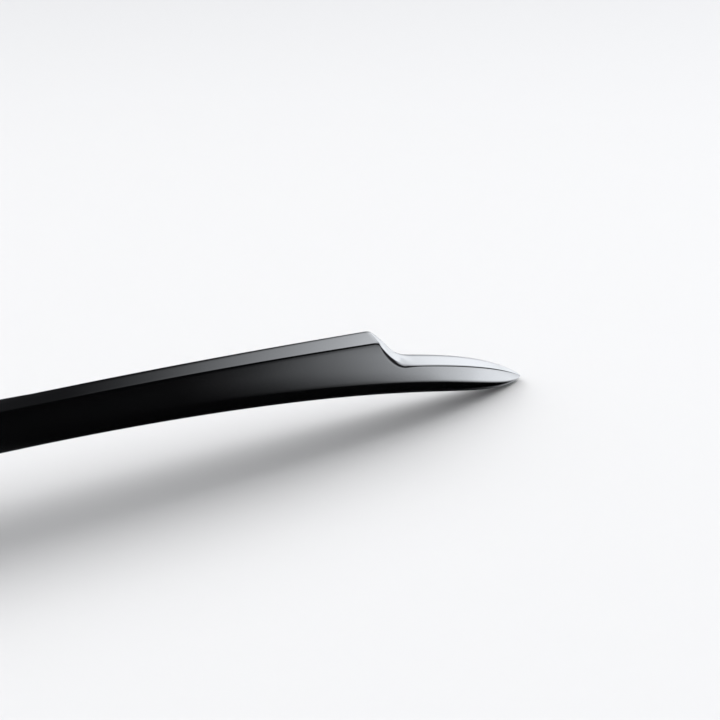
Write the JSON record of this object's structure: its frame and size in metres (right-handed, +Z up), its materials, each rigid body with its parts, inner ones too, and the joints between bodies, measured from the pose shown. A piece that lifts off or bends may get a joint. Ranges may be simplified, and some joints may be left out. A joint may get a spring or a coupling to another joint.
{
  "type": "spoiler extension",
  "caption": "One-piece gloss black spoiler extension for a boot lid: raised ducktail block, swept step at each side, low tapering ends and a hollow underside.",
  "frame": {"origin": "middle of the rear bonding land on the centre plane", "axes": "+X across the car to the right, +Y forward on the car, +Z up"},
  "size_m": [1.24, 0.1115, 0.1134],
  "materials": {
    "gloss_black": "piano black gloss moulding"
  },
  "bodies": {
    "root": {"spoiler_extension": "gloss_black"}
  },
  "joints": []
}
